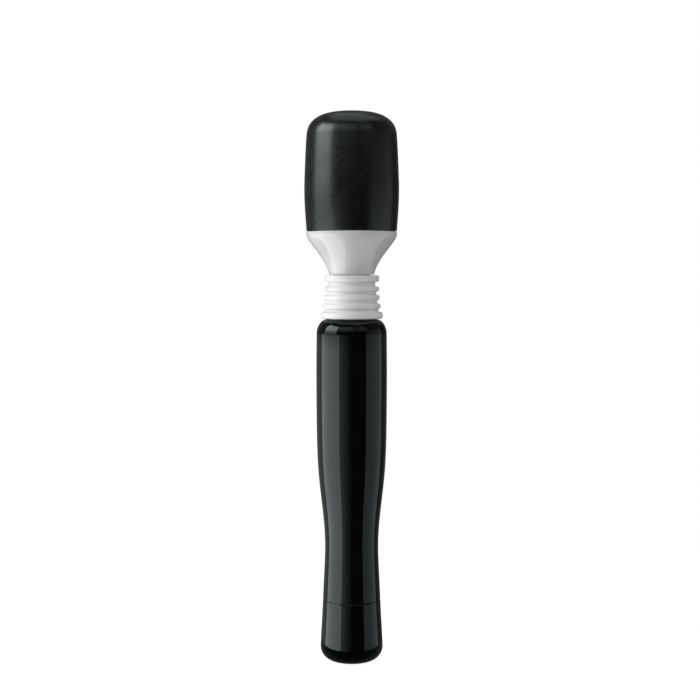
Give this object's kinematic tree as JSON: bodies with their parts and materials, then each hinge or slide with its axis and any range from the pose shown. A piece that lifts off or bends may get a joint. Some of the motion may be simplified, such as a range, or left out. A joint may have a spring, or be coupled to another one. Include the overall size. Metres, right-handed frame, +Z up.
{
  "type": "battery wand massager",
  "caption": "Slim battery wand massager: black waisted handle with twist dial foot, white ribbed flexible neck, flared collar and soft black barrel head.",
  "frame": {"origin": "centre of the dial's flat foot, which the wand stands on", "axes": "+Z up along the wand from the dial to the head; the neck's pitch axis is X and its roll axis is Y"},
  "size_m": [0.0356, 0.0356, 0.2078],
  "materials": {
    "gloss_black": "polished moulded black plastic",
    "gloss_white": "glossy moulded white plastic",
    "soft_white": "smooth flexible white elastomer",
    "cover_rubber": "satin black elastomer with a fine grain",
    "natural_nylon": "matt moulded nylon",
    "inner_black": "satin moulded black plastic",
    "seal_rubber": "matt seal rubber",
    "brass_contact": "stamped brass",
    "weight_brass": "turned brass",
    "spring_steel": "nickel-plated spring wire",
    "steel_screw": "zinc-plated steel",
    "motor_steel": "plated steel sheet and laminations",
    "magnet_ferrite": "dark sintered ferrite",
    "board_green": "green circuit board",
    "cell_jacket": "plain wrapped dry cell, no print",
    "lead_red": "red insulated wire"
  },
  "bodies": {
    "dial": {"dial_cap": "gloss_black", "speed_wiper": "brass_contact", "pivot_screw": "steel_screw"},
    "plug": {"battery_plug": "inner_black", "plug_seal_ring": "seal_rubber", "plug_contact_ring": "brass_contact", "speed_board": "board_green", "contact_spring": "spring_steel", "battery_lower": "cell_jacket", "battery_upper": "cell_jacket"},
    "handle": {"handle_shell": "gloss_black", "contact_carrier": "natural_nylon", "positive_contact": "brass_contact", "return_strip": "brass_contact", "bellows_lower": "soft_white", "motor_lead_red": "lead_red", "motor_lead_black": "inner_black"},
    "neck_middle": {"bellows_middle": "soft_white"},
    "head": {"bellows_upper": "soft_white", "neck_cone": "gloss_white", "head_shell": "natural_nylon", "head_cover": "cover_rubber", "motor_cradle": "natural_nylon", "motor_end_bell": "inner_black", "motor_can": "motor_steel", "motor_magnet_left": "magnet_ferrite", "motor_magnet_right": "magnet_ferrite", "motor_terminal_left": "brass_contact", "motor_terminal_right": "brass_contact", "motor_brush_left": "brass_contact", "motor_brush_right": "brass_contact", "motor_screw_front": "steel_screw", "motor_screw_back": "steel_screw"},
    "rotor": {"motor_shaft": "motor_steel", "motor_commutator": "brass_contact", "motor_armature": "motor_steel", "eccentric_weight": "weight_brass"}
  },
  "joints": [
    {"name": "dial_turn", "type": "hinge", "parent": "dial", "child": "plug", "pos_m": [0, 0, 0.0085], "axis": [0, 0, 1], "range_deg": [0, 270]},
    {"name": "handle_pull", "type": "slide", "parent": "plug", "child": "handle", "axis": [0, 0, 1], "range_m": [0, 0.1]},
    {"name": "neck_pitch", "type": "hinge", "parent": "handle", "child": "neck_middle", "pos_m": [0, 0, 0.1344], "axis": [1, 0, 0], "range_deg": [-15, 15], "stiffness_Nm_per_rad": 1, "deforming": ["bellows_lower", "motor_lead_red", "motor_lead_black"]},
    {"name": "neck_roll", "type": "hinge", "parent": "neck_middle", "child": "head", "pos_m": [0, 0, 0.1424], "axis": [0, 1, 0], "range_deg": [-15, 15], "stiffness_Nm_per_rad": 1, "deforming": ["bellows_upper"]},
    {"name": "motor_spin", "type": "hinge", "parent": "head", "child": "rotor", "pos_m": [0, 0, 0.1768], "axis": [0, 0, 1], "continuous": true}
  ]
}
